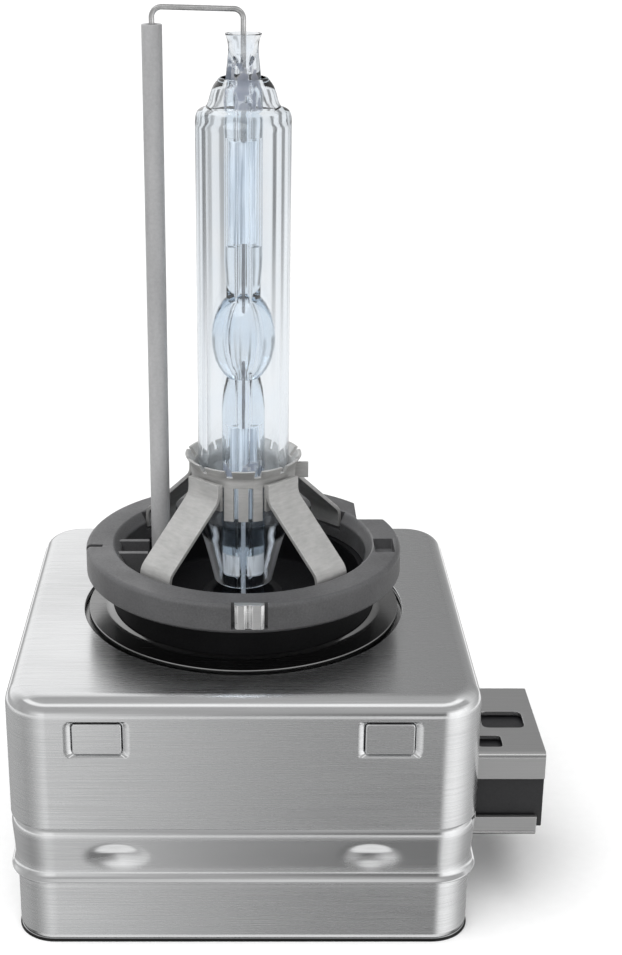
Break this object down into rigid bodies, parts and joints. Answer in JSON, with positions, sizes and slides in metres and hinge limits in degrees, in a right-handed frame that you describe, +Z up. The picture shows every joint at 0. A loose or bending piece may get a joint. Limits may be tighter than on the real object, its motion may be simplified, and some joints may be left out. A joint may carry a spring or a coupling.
{
  "type": "headlight bulb",
  "caption": "Gas-discharge headlight bulb: quartz burner with a return wire in a ceramic tube, on a keyed plastic ring over a metal-cased igniter box with a side connector.",
  "frame": {"origin": "on the lamp axis, at the underside of the igniter box", "axes": "+Z up the burner along the lamp axis, +X out of the connector's mouth, -Y the front of the box"},
  "size_m": [0.0513, 0.0426, 0.0848],
  "materials": {
    "can_steel": "satin",
    "ring_plastic": "matte",
    "neck_plastic": "satin",
    "quartz": "gloss",
    "ceramic_grey": "matte",
    "ceramic_white": "satin",
    "strap_steel": "satin",
    "lead_metal": "polished",
    "tungsten": "satin",
    "molybdenum": "satin",
    "shield_steel": "satin",
    "connector_plastic": "satin",
    "tray_plastic": "matte",
    "pin_metal": "satin",
    "busbar_metal": "satin",
    "ferrite": "matte",
    "bobbin_plastic": "matte",
    "copper": "satin",
    "capacitor_film": "gloss",
    "cap_metal": "satin"
  },
  "bodies": {
    "root": {"upper_can": "can_steel", "lower_can": "can_steel", "reference_ring": "ring_plastic", "base_neck": "neck_plastic", "insulator_cup": "neck_plastic", "ring_tab": "shield_steel", "outer_bulb": "quartz", "arc_tube": "quartz", "lower_foil": "molybdenum", "upper_foil": "molybdenum", "lower_electrode": "tungsten", "upper_electrode": "tungsten", "lower_lead_wire": "lead_metal", "return_wire": "lead_metal", "ceramic_tube": "ceramic_grey", "clamp_collar": "strap_steel", "strap_front_left": "strap_steel", "strap_front_right": "strap_steel", "strap_back_right": "strap_steel", "strap_back_left": "strap_steel", "connector_shield": "shield_steel", "connector_housing": "connector_plastic", "connector_pin_1": "pin_metal", "connector_pin_2": "pin_metal", "connector_pin_3": "pin_metal", "connector_pin_4": "pin_metal", "igniter_tray": "tray_plastic", "tray_lid": "tray_plastic", "transformer_core": "ferrite", "transformer_bobbin": "bobbin_plastic", "secondary_coil_1": "copper", "secondary_coil_2": "copper", "secondary_coil_3": "copper", "secondary_coil_4": "copper", "primary_foil": "copper", "high_voltage_contact": "busbar_metal", "return_busbar": "busbar_metal", "supply_busbar": "busbar_metal", "spark_busbar": "busbar_metal", "spark_gap_body": "ceramic_white", "spark_gap_cap_1": "cap_metal", "spark_gap_cap_2": "cap_metal", "ignition_capacitor": "capacitor_film", "filter_capacitor": "capacitor_film", "charging_resistor": "ceramic_white"}
  },
  "joints": []
}
